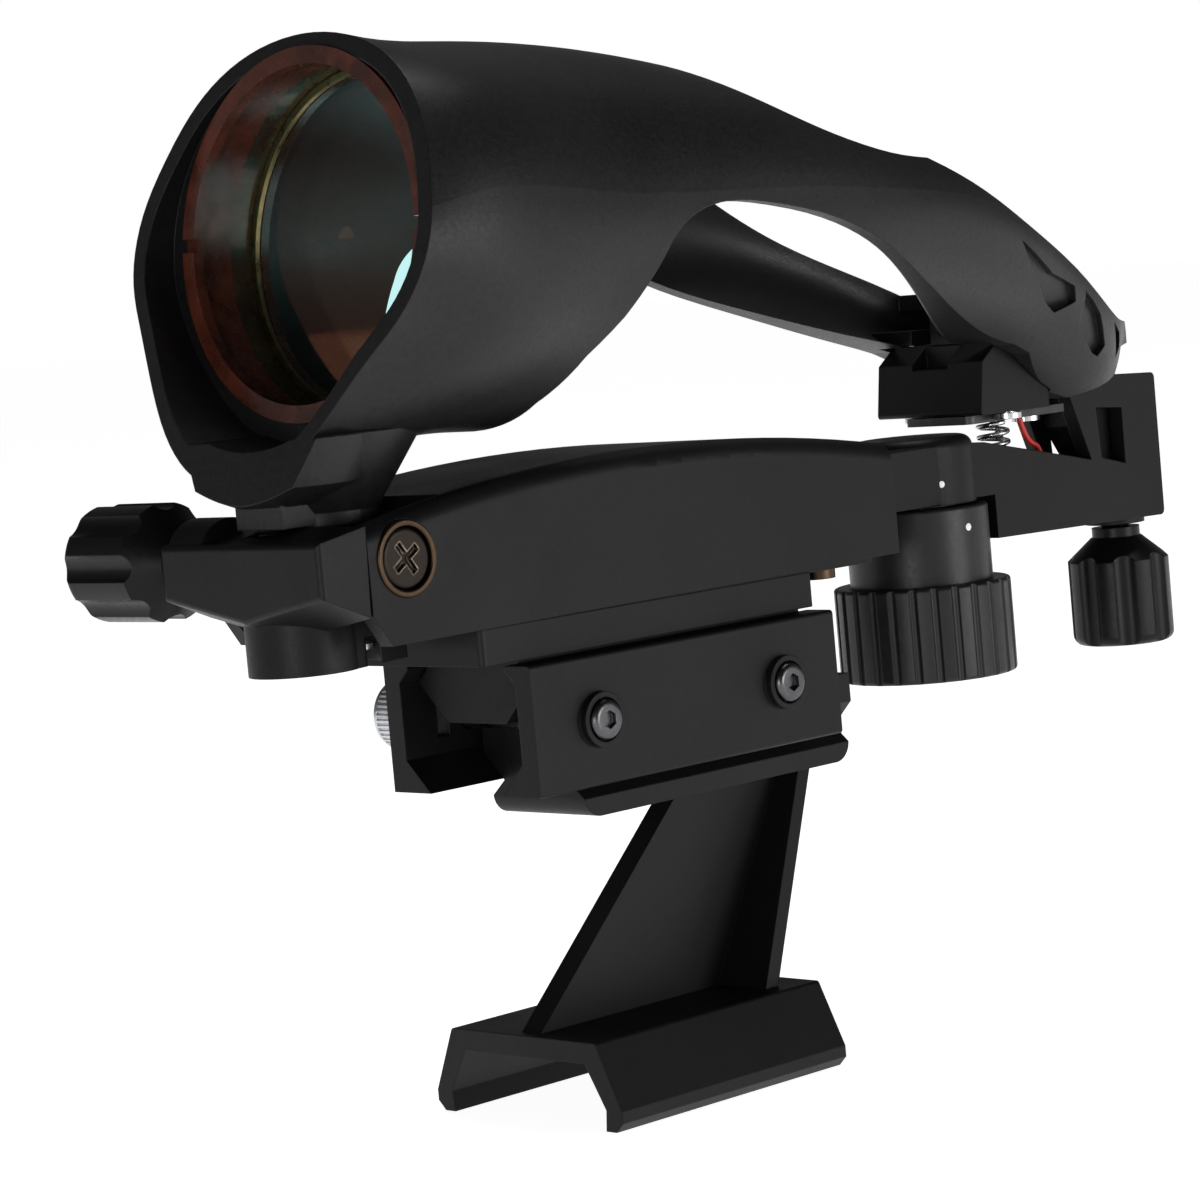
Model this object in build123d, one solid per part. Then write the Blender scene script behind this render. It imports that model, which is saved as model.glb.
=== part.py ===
"""Red dot finder on a dovetail foot.

Frame: origin at the centre of the foot's underside, +Z up, -Y towards the sky end
(the lens), +Y towards the observer's end (altitude knob), +X the side with the bolt heads.
All sizes are in millimetres.
"""
from build123d import *
import os
from math import cos, pi, radians, sin, tan

# ---------------------------------------------------------------- driving dimensions
# dovetail foot and stem
FOOT_LENGTH = 40.0
FOOT_TOP_HALF = 12.8
FOOT_BOTTOM_HALF = 16.5
FOOT_HEIGHT = 10.7
FOOT_LIP = 2.6
FOOT_WALL = 2.7
WEB_HALF = 1.7
FLANGE_T = 2.2
FLANGE_BOTTOM_HALF = 10.2
FLANGE_TOP_HALF = 5.4
STEM_TOP = 36.8

# clamp head and jaws
HEAD_FRONT, HEAD_REAR = -13.5, 34.5
HEAD_HALF = 9.2
HEAD_TOP = 48.2
JAW_FRONT, JAW_REAR = -25.3, 28.2
JAW_OUT = 13.1
JAW_IN = 10.4
JAW_BOTTOM, JAW_TOP = 41.3, 57.2
BOLT_YS = (-14.4, 18.1)
BOLT_Z = 49.3
BOLT_R = 1.5
NUT_R = 4.5

# bar
RAIL_FRONT, RAIL_REAR = -22.5, 27.0
RAIL_BOTTOM = 49.7
RAIL_NECK_HALF = 8.3
PLATE_HALF = 11.3
PLATE_FRONT = -31.0
PLATE_BOTTOM, PLATE_TOP = 57.8, 62.2
COVER_HALF = 13.8
COVER_WALL = 2.2
COVER_FRONT, COVER_REAR = -49.2, 41.2
COVER_BOTTOM = 62.4
DECK_FRONT = -35.5
SLIDE_TRAVEL = 4.0
# x, y of the screws that hold the cover to the base
SCREW_PLACES = [(8.2, -27.6), (-8.2, -27.6), (6.5, 33.0), (-6.5, 33.0)]

# altitude pivot and azimuth pivot
ALT_Y, ALT_Z = -43.4, 72.2
YOKE_FRONT = -57.0
YOKE_HALF = 14.4
YOKE_TOP = 75.3
TONGUE_HALF = 10.7
PIVOT_R = 3.0
BUSH_R = 4.0
AZ_SCREW_Y, AZ_SCREW_Z = -51.6, 73.0
SCREW_R = 1.5

# dial
DIAL_Y = 60.7
BOSS_R = 8.3
SKIRT_R = 9.7
WHEEL_R = 12.0
WHEEL_BOTTOM, WHEEL_TOP = 44.2, 56.9
SKIRT_TOP = 67.1
RIB_COUNT = 26
DIAL_FLOOR_LOW, DIAL_FLOOR_HIGH = 56.0, 60.0

# rear arm and post
ARM_HALF = 5.5
SLOT_HALF = 3.2
SLOT_END = 106.2
ALT_SCREW_Y = 103.3
ALT_SCREW_R = 2.0
LIFTER_TOP = 82.2

# knobs
KNOB_R = 7.2
KNOB_LENGTH = 16.6
KNOB_LOBES = 8

# hood
RIM_Y, RIM_Z, RIM_TILT = -47.0, 108.4, 17.0
HOOD_WALL = 2.2
LENS_Y, LENS_Z, LENS_TILT = -36.4, 109.4, 7.0
CELL_R = 22.0
LENS_R = 20.6
FLANGE_DEPTH = 9.6
POCKET_DEPTH = 1.0
HUB_R = 6.5
HUB_BOTTOM = 76.4
PIN_TOP = 83.0
CHIN_Y = -50.0
LUG_TOP = 82.4

# emitter
EMITTER_FRONT = 65.0
EMITTER_HALF = 9.3
EMITTER_TOP = 88.4
EMITTER_SCREW_YS = (72.0, 85.4)
LED_Z = 90.8
EMITTER_SCREW_X = 8.0
EMITTER_SCREW_R = 1.1
PLATE_LOW, PLATE_HIGH = 77.5, 78.6

# leads
LEAD_R = 0.4
LEAD_X = 3.4
LEAD_START_Y = 84.4

os.makedirs("parts", exist_ok=True)


# ---------------------------------------------------------------- helpers
def prism_x(outline, x0, x1):
    """Solid with a (y, z) outline, from x0 to x1."""
    face = make_face(Polyline(*[(x0, y, z) for y, z in outline], close=True))
    return extrude(face, amount=x1 - x0, dir=(1, 0, 0))


def prism_y(outline, y0, y1):
    """Solid with an (x, z) outline, from y0 to y1."""
    face = make_face(Polyline(*[(x, y0, z) for x, z in outline], close=True))
    return extrude(face, amount=y1 - y0, dir=(0, 1, 0))


def prism_z(outline, z0, z1):
    """Solid with an (x, y) outline, from z0 to z1."""
    face = make_face(Polyline(*[(x, y, z0) for x, y in outline], close=True))
    return extrude(face, amount=z1 - z0, dir=(0, 0, 1))


def block(x0, x1, y0, y1, z0, z1):
    """Box between two corners."""
    size = Box(x1 - x0, y1 - y0, z1 - z0)
    return Pos((x0 + x1) / 2, (y0 + y1) / 2, (z0 + z1) / 2) * size


def rod_x(r, x0, x1, y, z):
    """Cylinder along X."""
    return Pos((x0 + x1) / 2, y, z) * Rot(0, 90, 0) * Cylinder(r, x1 - x0)


def rod_y(r, y0, y1, x, z):
    """Cylinder along Y."""
    return Pos(x, (y0 + y1) / 2, z) * Rot(90, 0, 0) * Cylinder(r, y1 - y0)


def rod_z(r, z0, z1, x, y):
    """Cylinder along Z."""
    return Pos(x, y, (z0 + z1) / 2) * Cylinder(r, z1 - z0)


def cone_z(r0, r1, z0, z1, x, y):
    """Cone along Z, radius r0 at z0 and r1 at z1."""
    return Pos(x, y, (z0 + z1) / 2) * Cone(r0, r1, z1 - z0)


def mirrored(outline):
    """Outline (x, z) on the +X side, closed by its mirror image."""
    return outline + [(-x, z) for x, z in reversed(outline)]


def both_sides(shape):
    """The shape and its mirror image across the YZ plane."""
    return shape + mirror(shape, about=Plane.YZ)


def soften(shape, radius, choose):
    """Fillet the chosen edges, and leave the shape as it is where that can't be done."""
    edges = choose(shape.edges())
    try:
        rounded = fillet(edges, radius)
    except Exception:
        return shape
    return rounded if rounded.is_valid else shape


def save(name, shape):
    """Write one sub-part."""
    export_step(shape, f"parts/{name}.step")


def tilted(angle, y, z):
    """Plane whose normal points to the sky end, with its top leaning back by the angle."""
    a = radians(angle)
    return Plane(origin=(0, y, z), x_dir=(1, 0, 0), z_dir=(0, -cos(a), sin(a)))


def coil(radius, wire, length, turns):
    """Compression spring along its local Z, starting at 0."""
    path = Helix(pitch=length / turns, height=length, radius=radius)
    start = Plane(origin=path @ 0, z_dir=path % 0)
    return sweep(start * Circle(wire), path=path)


# ---------------------------------------------------------------- bracket and clamp
def make_bracket():
    half = FOOT_LENGTH / 2
    outer = mirrored([
        (FOOT_BOTTOM_HALF - FOOT_WALL - 0.4, 0), (FOOT_BOTTOM_HALF - 1.2, 0),
        (FOOT_BOTTOM_HALF, 1.2), (FOOT_BOTTOM_HALF, FOOT_LIP), (FOOT_TOP_HALF, FOOT_HEIGHT),
    ])
    foot = prism_y(outer, -half, half)
    channel = mirrored([
        (FOOT_BOTTOM_HALF - FOOT_WALL - 0.4, -1), (FOOT_BOTTOM_HALF - FOOT_WALL, FOOT_LIP),
        (FOOT_TOP_HALF - 2.1, FOOT_HEIGHT - FOOT_WALL),
    ])
    foot -= prism_y(channel, -half - 1, half + 1)
    foot = soften(foot, 0.5, lambda e: e.filter_by(Axis.Y).group_by(Axis.Z)[-1])

    web_outline = [(-18.6, FOOT_HEIGHT - 0.2), (9.4, STEM_TOP), (28.6, STEM_TOP),
                   (14.2, FOOT_HEIGHT - 0.2)]
    web = prism_x(web_outline, -WEB_HALF, WEB_HALF)
    slope = (27.6 - 13.0) / (STEM_TOP - FOOT_HEIGHT)
    back_bottom, back_top = 13.0, 27.6
    flange = prism_x([
        (back_bottom - 0.2 * slope, FOOT_HEIGHT - 0.2), (back_top, STEM_TOP),
        (back_top + FLANGE_T, STEM_TOP), (back_bottom + FLANGE_T, FOOT_HEIGHT - 0.2),
    ], -12, 12)
    flange &= prism_y([
        (-FLANGE_BOTTOM_HALF, FOOT_HEIGHT - 0.2), (FLANGE_BOTTOM_HALF, FOOT_HEIGHT - 0.2),
        (FLANGE_TOP_HALF, STEM_TOP), (-FLANGE_TOP_HALF, STEM_TOP),
    ], 0, 40)

    head_outline = mirrored([
        (8.2, STEM_TOP), (8.2, 39.2), (5.9, 41.2), (HEAD_HALF, 44.5), (HEAD_HALF, HEAD_TOP),
    ])
    head = prism_y(head_outline, HEAD_FRONT, HEAD_REAR)
    head = soften(head, 2.6, lambda e: e.filter_by(Axis.X).group_by(Axis.Z)[0])
    for y in BOLT_YS:
        head -= rod_x(BOLT_R + 0.35, -20, 20, y, BOLT_Z)
        head -= block(-20, 20, y - BOLT_R - 0.35, y + BOLT_R + 0.35, BOLT_Z, HEAD_TOP + 3)
    return foot + web + flange + head


def jaw_outline():
    """Section (x, z) of the jaw on the +X side: C shape with a lip at the top and the bottom."""
    return [
        (JAW_OUT, JAW_BOTTOM), (JAW_OUT, JAW_TOP), (8.7, JAW_TOP), (8.7, 56.5),
        (JAW_IN, 54.9), (JAW_IN, 45.3), (6.4, JAW_BOTTOM),
    ]


def make_near_jaw():
    jaw = prism_y(jaw_outline(), JAW_FRONT, JAW_REAR)
    jaw = soften(jaw, 0.5, lambda e: e.filter_by(Axis.Y).group_by(Axis.X)[-1])
    for y in BOLT_YS:
        jaw += rod_x(3.4, JAW_OUT - 1, JAW_OUT + 1.0, y, BOLT_Z)
        jaw -= rod_x(BOLT_R + 0.15, 0, 20, y, BOLT_Z)
        jaw -= rod_x(2.7, JAW_OUT, 20, y, BOLT_Z)
    return jaw


def make_far_jaw():
    jaw = mirror(prism_y(jaw_outline(), JAW_FRONT, JAW_REAR), about=Plane.YZ)
    finger = 5.6
    jaw -= block(-20, -JAW_IN + 1, JAW_FRONT + finger, BOLT_YS[0] - 3.4, 47.4, 54.2)
    jaw -= block(-20, -JAW_IN + 1, BOLT_YS[0] + 3.4, BOLT_YS[1] - 3.4, 47.4, 54.2)
    for y in BOLT_YS:
        jaw -= rod_x(BOLT_R + 0.15, -20, 0, y, BOLT_Z)
    return jaw


def make_clamp_bolts():
    bolts = []
    for y in BOLT_YS:
        bolt = rod_x(BOLT_R, -22.4, JAW_OUT + 0.1, y, BOLT_Z)
        head = rod_x(2.5, JAW_OUT, JAW_OUT + 1.7, y, BOLT_Z)
        head = soften(head, 0.8, lambda e: e.group_by(Axis.X)[-1])
        socket = Pos(JAW_OUT + 1.0, y, BOLT_Z) * Rot(0, 90, 0)
        key = extrude(RegularPolygon(1.15, 6), amount=3)
        bolts.append(bolt + head - socket * key)
    return bolts[0] + bolts[1]


def make_thumb_nut(y):
    x0, x1 = -23.6, -JAW_OUT - 0.3
    nut = rod_x(NUT_R, x0, x1, y, BOLT_Z)
    nut = soften(nut, 0.5, lambda e: e.filter_by(GeomType.CIRCLE))
    grooves = 40
    cuts = []
    for i in range(grooves):
        a = 2 * pi * i / grooves
        cy, cz = y + NUT_R * cos(a), BOLT_Z + NUT_R * sin(a)
        cuts.append(rod_x(0.2, x0 + 0.8, x1 - 2.2, cy, cz))
    nut -= cuts
    nut -= rod_x(BOLT_R + 0.05, x0 - 1, x1 + 1, y, BOLT_Z)
    return nut


# ---------------------------------------------------------------- bar
def make_bar_base():
    base = block(-PLATE_HALF, PLATE_HALF, PLATE_FRONT, RAIL_REAR, PLATE_BOTTOM, PLATE_TOP)
    base = soften(base, 0.8, lambda e: e.filter_by(Axis.Z))
    base += block(-11.2, 11.2, PLATE_FRONT + 1, COVER_REAR - 2.6, PLATE_TOP - 0.1, 64.0)
    rail_outline = mirrored([
        (5.2, RAIL_BOTTOM), (10.0, 54.5), (RAIL_NECK_HALF, 56.2), (RAIL_NECK_HALF, 58.0),
    ])
    rail = prism_y(rail_outline, RAIL_FRONT, RAIL_REAR)
    for y in BOLT_YS:
        reach = SLIDE_TRAVEL + BOLT_R + 0.5
        rail -= block(-20, 20, y - reach, y + reach, RAIL_BOTTOM - 1, BOLT_Z + BOLT_R + 0.4)
    base += rail

    # neck, boss for the dial's switch, arm and post
    base += block(-7.6, 7.6, COVER_REAR - 4, DIAL_Y - 3, 67.6, 75.4)
    base += block(-7.6, 7.6, COVER_REAR - 5.5, COVER_REAR - 2.7, 63.9, 74.8)
    boss = rod_z(BOSS_R, 67.4, 76.5, 0, DIAL_Y)
    boss = soften(boss, 1.6, lambda e: e.group_by(Axis.Z)[-1])
    base += boss
    arm = prism_x([
        (DIAL_Y + 2, 67.6), (71.0, 67.6), (71.0, 61.6), (107.8, 60.9), (107.8, 81.2),
        (97.4, 81.7), (88.2, 80.4), (92.4, 70.2), (88.2, 71.1), (69.4, 74.9), (DIAL_Y + 2, 75.4),
    ], -ARM_HALF, ARM_HALF)
    arm = soften(arm, 0.8, lambda e: e.filter_by(Axis.X).group_by(Axis.Y)[-1])
    base += arm
    base -= rod_z(6.9, 60, 74.9, 0, DIAL_Y)
    # slot for the lifter, open at the top and at the front
    base -= block(-SLOT_HALF, SLOT_HALF, 87.0, SLOT_END, 64.2, 90)
    window = [(94.1, 77.4), (99.9, 76.9), (99.9, 69.0), (94.6, 70.3)]
    base -= prism_x(window, -20, 20)
    base += rod_z(4.2, 60.2, 61.6, 0, ALT_SCREW_Y)
    base -= rod_z(ALT_SCREW_R + 0.05, 55, 66, 0, ALT_SCREW_Y)
    # wire way in the arm, and the seat of the return spring
    base -= rod_z(2.7, 66.2, 80, 0, 78.1)
    base -= both_sides(rod_z(1.0, 65.0, 76, LEAD_X, LEAD_START_Y))
    for x, y in SCREW_PLACES:
        base -= rod_z(1.35, 50, 70, x, y)
        base -= rod_z(2.6, 50, PLATE_BOTTOM + 1.6, x, y)
    return base



def cover_body(half, front, rear, bottom, drop):
    """Bar outline with an arched top, lowered by drop, between -half and half."""
    top = ThreePointArc((-half, front, 76.5 - drop), (-half, -5.0, 81.0 - drop),
                        (-half, rear, 77.3 - drop))
    sides = Polyline((-half, rear, 77.3 - drop), (-half, rear, bottom + 0.6),
                     (-half, front + 2.6, bottom), (-half, front, bottom + 3.8),
                     (-half, front, 76.5 - drop))
    return extrude(make_face(top + sides), amount=2 * half, dir=(1, 0, 0))


def make_bar_cover():
    cover = cover_body(COVER_HALF, COVER_FRONT, COVER_REAR, COVER_BOTTOM, 0)
    long_edges = lambda e: e.filter_by(lambda k: k.length > 80).group_by(Axis.Z)[-1]
    cover = soften(cover, 2.4, long_edges)
    inner_half = COVER_HALF - COVER_WALL
    hollow = cover_body(inner_half, COVER_FRONT - 5, COVER_REAR - 2.4, COVER_BOTTOM - 3, 2.4)
    cover -= hollow
    cover -= block(-inner_half, inner_half, COVER_FRONT - 1, DECK_FRONT, 60, 90)
    cover -= block(-7.8, 7.8, COVER_REAR - 5, COVER_REAR + 1, 60, 75.6)
    ears = both_sides(rod_x(5.2, 11.1, inner_half + 0.5, ALT_Y, ALT_Z))
    cover += ears
    for x, y in SCREW_PLACES:
        cover += rod_z(2.4, 64.2, 77.6, x, y)
        cover -= rod_z(1.0, 60, 72, x, y)
    for side in (-1, 1):
        x0, x1 = sorted((side * 10, side * 20))
        cover -= rod_x(2.06, x0, x1, ALT_Y, ALT_Z)
        x0, x1 = sorted((side * 12.3, side * 20))
        cover -= rod_x(4.5, x0, x1, ALT_Y, ALT_Z)
    return cover


def make_pivot_ferrules():
    ring = rod_x(4.5, 12.3, 14.1, ALT_Y, ALT_Z) - rod_x(3.75, 12, 15, ALT_Y, ALT_Z)
    ring = soften(ring, 0.25, lambda e: e.group_by(Axis.X)[-1])
    return both_sides(ring)


def make_pivot_screws():
    screw = rod_x(2.0, 5.2, 12.5, ALT_Y, ALT_Z)
    head = rod_x(3.6, 12.4, 13.8, ALT_Y, ALT_Z)
    head = soften(head, 0.5, lambda e: e.group_by(Axis.X)[-1])
    screw += head
    recess = block(13.1, 15, ALT_Y - 2.1, ALT_Y + 2.1, ALT_Z - 0.45, ALT_Z + 0.45)
    screw -= Pos(0, ALT_Y, ALT_Z) * Rot(35, 0, 0) * Pos(0, -ALT_Y, -ALT_Z) * recess
    screw -= Pos(0, ALT_Y, ALT_Z) * Rot(125, 0, 0) * Pos(0, -ALT_Y, -ALT_Z) * recess
    return both_sides(screw)


def make_cover_screws():
    screws = []
    for x, y in SCREW_PLACES:
        seat = PLATE_BOTTOM + 1.6 if y < 0 else PLATE_TOP - 0.15
        head = rod_z(2.4, seat - 1.4, seat, x, y)
        screws.append(head + rod_z(1.0, seat - 0.1, 71.5, x, y))
    return screws[0] + screws[1] + screws[2] + screws[3]


# ---------------------------------------------------------------- dial, switch and battery
def make_control_dial():
    skirt = rod_z(SKIRT_R, WHEEL_TOP - 1, SKIRT_TOP, 0, DIAL_Y)
    skirt = soften(skirt, 0.4, lambda e: e.group_by(Axis.Z)[-1])
    wheel = rod_z(WHEEL_R, WHEEL_BOTTOM, WHEEL_TOP, 0, DIAL_Y)
    wheel = soften(wheel, 0.5, lambda e: e.filter_by(GeomType.CIRCLE))
    cuts = []
    for i in range(RIB_COUNT):
        a = 2 * pi * i / RIB_COUNT
        x, y = (WHEEL_R + 0.15) * cos(a), DIAL_Y + (WHEEL_R + 0.15) * sin(a)
        cuts.append(rod_z(0.6, WHEEL_BOTTOM - 1, WHEEL_TOP + 1, x, y))
    dial = skirt + (wheel - cuts)
    dial -= rod_z(9.9, WHEEL_BOTTOM - 1, 50.6, 0, DIAL_Y)
    dial -= rod_z(8.3, WHEEL_BOTTOM, DIAL_FLOOR_LOW, 0, DIAL_Y)
    dial -= rod_z(7.6, DIAL_FLOOR_HIGH, SKIRT_TOP + 1, 0, DIAL_Y)
    dial -= rod_z(1.5, 50, 62, 0, DIAL_Y)
    return dial


def make_battery_cap():
    cap = rod_z(9.8, WHEEL_BOTTOM + 0.4, 47.4, 0, DIAL_Y)
    cap += rod_z(8.1, 47.3, 49.8, 0, DIAL_Y) - rod_z(7.0, 47.3, 50, 0, DIAL_Y)
    cap -= block(-6.0, 6.0, DIAL_Y - 0.8, DIAL_Y + 0.8, WHEEL_BOTTOM - 1, WHEEL_BOTTOM + 1.6)
    return cap


def make_switch_shaft():
    shaft = rod_z(1.5, 56.2, 72.0, 0, DIAL_Y)
    return shaft + rod_z(5.2, DIAL_FLOOR_HIGH, DIAL_FLOOR_HIGH + 1, 0, DIAL_Y)


def make_rotary_switch():
    body = rod_z(6.7, 68.6, 74.4, 0, DIAL_Y)
    body -= rod_z(1.55, 60, 72.3, 0, DIAL_Y)
    return body


def make_switch_board():
    board = rod_z(6.6, 67.2, 68.4, 0, DIAL_Y)
    return board - rod_z(2.2, 60, 70, 0, DIAL_Y)


def make_coin_cell():
    cell = rod_z(8.0, 50.4, 52.4, 0, DIAL_Y)
    cell += rod_z(6.8, 49.9, 50.5, 0, DIAL_Y)
    return cell


def make_battery_spring():
    spring = coil(2.6, 0.3, 2.4, 3)
    return Pos(0, DIAL_Y, 53.1) * spring


# ---------------------------------------------------------------- knobs and screws
def knob():
    """Lobed knob along its local -Z, with its neck's top face at 0."""
    body = cone_z(KNOB_R, 3.6, -4.6, -1.4, 0, 0)
    body += rod_z(3.4, -1.5, 0, 0, 0)
    low = rod_z(KNOB_R, -KNOB_LENGTH, -4.6, 0, 0)
    low = soften(low, 1.4, lambda e: e.group_by(Axis.Z)[0])
    body += low
    cuts = []
    for i in range(KNOB_LOBES):
        a = 2 * pi * i / KNOB_LOBES
        reach = KNOB_R + 1.3
        cuts.append(rod_z(2.2, -KNOB_LENGTH - 1, -2.4, reach * cos(a), reach * sin(a)))
    return body - cuts


def make_altitude_knob():
    shape = Pos(0, ALT_SCREW_Y, 59.7) * knob()
    return shape - rod_z(ALT_SCREW_R, 50.0, 61, 0, ALT_SCREW_Y)


def make_altitude_screw():
    return rod_z(ALT_SCREW_R, 50.0, 80.2, 0, ALT_SCREW_Y)


def make_altitude_clip():
    clip = rod_z(2.7, 64.5, 65.2, 0, ALT_SCREW_Y)
    return clip - rod_z(ALT_SCREW_R, 60, 70, 0, ALT_SCREW_Y)


def make_azimuth_knob():
    shape = Pos(-15.0, AZ_SCREW_Y, AZ_SCREW_Z) * Rot(0, 90, 0) * knob()
    return shape - rod_x(SCREW_R, -25, -14, AZ_SCREW_Y, AZ_SCREW_Z)


def make_azimuth_screw():
    return rod_x(SCREW_R, -25, -1.8, AZ_SCREW_Y, AZ_SCREW_Z)


def make_altitude_lifter():
    lifter = prism_x([
        (92.6, LIFTER_TOP), (96.4, LIFTER_TOP), (97.6, 80.6), (105.9, 80.6), (105.9, 67.0),
        (98.2, 67.0), (92.6, 75.0),
    ], -2.85, 2.85)
    lifter = soften(lifter, 0.6, lambda e: e.filter_by(Axis.X).group_by(Axis.Z)[-1])
    return lifter - rod_z(2.5, 60, 90, 0, ALT_SCREW_Y)


def make_lifter_insert():
    insert = rod_z(2.5, 67.4, 77.0, 0, ALT_SCREW_Y)
    return insert - rod_z(ALT_SCREW_R + 0.05, 60, 90, 0, ALT_SCREW_Y)


# ---------------------------------------------------------------- yoke
def make_yoke():
    front = prism_x([
        (YOKE_FRONT, YOKE_TOP), (YOKE_FRONT, 66.3), (-50.2, 63.4), (-49.7, 76.6),
    ], -YOKE_HALF, YOKE_HALF)
    # the underside rises to both sides and keeps its lowest line in the middle
    for side in (-1, 1):
        wedge = prism_y([(0, 66.3), (side * 16, 69.1), (side * 16, 60), (0, 60)], -60, -49)
        wedge = Pos(0, YOKE_FRONT, 66.3) * Rot(-23, 0, 0) * Pos(0, -YOKE_FRONT, -66.3) * wedge
        front -= wedge
    front = soften(front, 0.7, lambda e: e.group_by(Axis.Y)[0])
    tongue = block(-TONGUE_HALF, TONGUE_HALF, -50.6, -38.0, 65.6, 76.0)
    tongue = soften(tongue, 2.0, lambda e: e.filter_by(Axis.X).group_by(Axis.Y)[-1])
    nose = [(-6.6, -48.6), (-3.0, -35.2), (3.0, -35.2), (6.6, -48.6)]
    lower = prism_z(nose, 59.6, 66.2) + rod_z(6.6, 59.6, 67.0, 0, -48.6)
    lower = soften(lower, 1.2, lambda e: e.group_by(Axis.Z)[0])
    bump = rod_x(5.2, -13.6, -7.4, AZ_SCREW_Y, AZ_SCREW_Z) & block(-14, -7, -57, -49.9, 72, 79)
    yoke = front + tongue + lower + bump
    yoke -= rod_z(BUSH_R, 50, 80, 0, ALT_Y)
    yoke -= rod_z(5.2, 50, 63.0, 0, ALT_Y)
    yoke -= block(-2.5, 2.5, AZ_SCREW_Y - 2.1, AZ_SCREW_Y + 2.1, 69.6, 80)
    yoke -= rod_x(2.1, -10.4, -5.6, AZ_SCREW_Y, AZ_SCREW_Z)
    yoke -= rod_x(SCREW_R + 0.05, -20, 0, AZ_SCREW_Y, AZ_SCREW_Z)
    yoke -= rod_x(1.95, 0, 11.0, AZ_SCREW_Y, AZ_SCREW_Z)
    for side in (-1, 1):
        x0, x1 = sorted((side * 5.0, side * 12))
        yoke -= rod_x(2.0, x0, x1, ALT_Y, ALT_Z)
    return yoke


def make_azimuth_bush():
    return rod_z(BUSH_R - 0.01, 63.2, 76.0, 0, ALT_Y) - rod_z(PIVOT_R + 0.04, 50, 80, 0, ALT_Y)


def make_azimuth_insert():
    insert = rod_x(2.1, -10.4, -5.6, AZ_SCREW_Y, AZ_SCREW_Z)
    return insert - rod_x(SCREW_R + 0.05, -20, 0, AZ_SCREW_Y, AZ_SCREW_Z)


def make_azimuth_plunger():
    plunger = rod_x(1.8, 2.6, 5.0, AZ_SCREW_Y, AZ_SCREW_Z)
    plunger += rod_x(1.2, 1.8, 2.7, AZ_SCREW_Y, AZ_SCREW_Z)
    return plunger


def make_azimuth_spring():
    spring = coil(1.4, 0.25, 5.2, 6)
    return Pos(5.4, AZ_SCREW_Y, AZ_SCREW_Z) * Rot(0, 90, 0) * spring


# ---------------------------------------------------------------- hood
HOOD_STATIONS = [
    # y, half width, top, bottom, squareness (2 is an ellipse)
    (-60.0, 28.6, 134.2, 82.6, 2.0),
    (-40.0, 27.6, 133.6, 84.4, 2.0),
    (-18.0, 26.2, 131.8, 84.8, 2.0),
    (4.0, 25.6, 129.5, 84.2, 2.2),
    (20.0, 25.6, 126.0, 87.0, 2.4),
    (38.0, 25.2, 123.0, 90.0, 2.1),
    (50.0, 24.8, 121.0, 89.5, 2.0),
    (60.0, 23.4, 117.0, 87.6, 2.0),
    (70.0, 21.0, 111.6, 84.6, 2.0),
    (80.0, 17.9, 107.0, 78.6, 2.0),
    (92.0, 12.4, 101.0, 76.0, 2.2),
    (103.6, 4.4, 97.0, 76.0, 2.4),
]


def hood_section(y, half, top, bottom, square, inset):
    """Superellipse outline of the hood at y, moved inwards by inset."""
    a, b = half - inset, (top - bottom) / 2 - inset
    middle = (top + bottom) / 2
    points = []
    count = 20
    for i in range(count):
        angle = 2 * pi * (i + 0.5) / count
        c, s = cos(angle), sin(angle)
        x = a * abs(c) ** (2 / square) * (1 if c > 0 else -1)
        z = middle + b * abs(s) ** (2 / square) * (1 if s > 0 else -1)
        points.append((x, y, z))
    return make_face(Spline(*points, periodic=True))


def hood_form(inset, stations):
    """Smooth solid through the hood's sections."""
    return loft([hood_section(*station, inset) for station in stations])


# shallow pockets on both flanks of the nose, as (y, z) outlines
NOSE_POCKETS = [
    [(59.2, 101.8), (62.9, 99.8), (67.6, 97.0), (73.9, 95.0), (74.6, 92.9), (70.6, 91.7),
     (67.7, 93.3), (61.7, 98.6)],
    [(77.4, 94.2), (79.9, 92.8), (82.4, 90.8), (84.6, 86.4), (83.2, 85.0), (81.6, 85.6),
     (76.8, 89.5), (76.8, 91.2)],
    [(88.8, 89.4), (92.0, 87.8), (91.8, 85.8), (89.6, 84.4)],
]


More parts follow.
